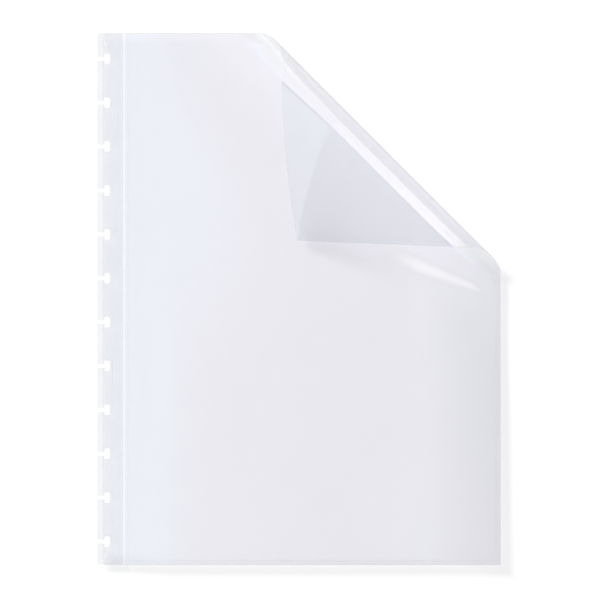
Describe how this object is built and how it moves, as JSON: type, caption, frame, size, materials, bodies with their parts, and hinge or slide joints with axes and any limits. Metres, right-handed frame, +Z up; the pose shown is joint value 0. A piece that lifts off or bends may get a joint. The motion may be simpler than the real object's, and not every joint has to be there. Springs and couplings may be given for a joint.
{
  "type": "sheet protector",
  "caption": "Clear film pocket for a loose sheet, open at the top, with a margin punched for a disc-bound notebook and a top corner rolled over the front.",
  "frame": {"origin": "on the surface that the page lies on, under the middle of the page", "axes": "+X from the binding edge to the fore edge, +Y from the foot to the open mouth, +Z up out of the front of the page"},
  "size_m": [0.2332, 0.3078, 0.0266],
  "materials": {
    "clear_film": "clear polypropylene film with a faint haze",
    "margin_film": "thicker clear polypropylene film",
    "weld": "pressed and fused film, slightly cloudy"
  },
  "bodies": {
    "binding": {"binding_strip": "margin_film", "reinforcing_strip": "margin_film"},
    "pocket": {"spine_weld": "weld", "rear_film": "clear_film", "front_film": "clear_film", "foot_weld": "weld", "fore_edge_weld": "weld"},
    "corner": {"rear_film_corner": "clear_film", "front_film_corner": "clear_film", "corner_weld": "weld"}
  },
  "joints": [
    {"name": "page_turn", "type": "hinge", "parent": "binding", "child": "pocket", "pos_m": [-0.10214, 0, 0.00036], "axis": [0, -1, 0], "range_deg": [0, 160]},
    {"name": "corner_lift", "type": "hinge", "parent": "pocket", "child": "corner", "pos_m": [0.03995, 0.07725, 0.0266], "axis": [-0.7071, 0.7071, 0], "range_deg": [0, 80]}
  ]
}
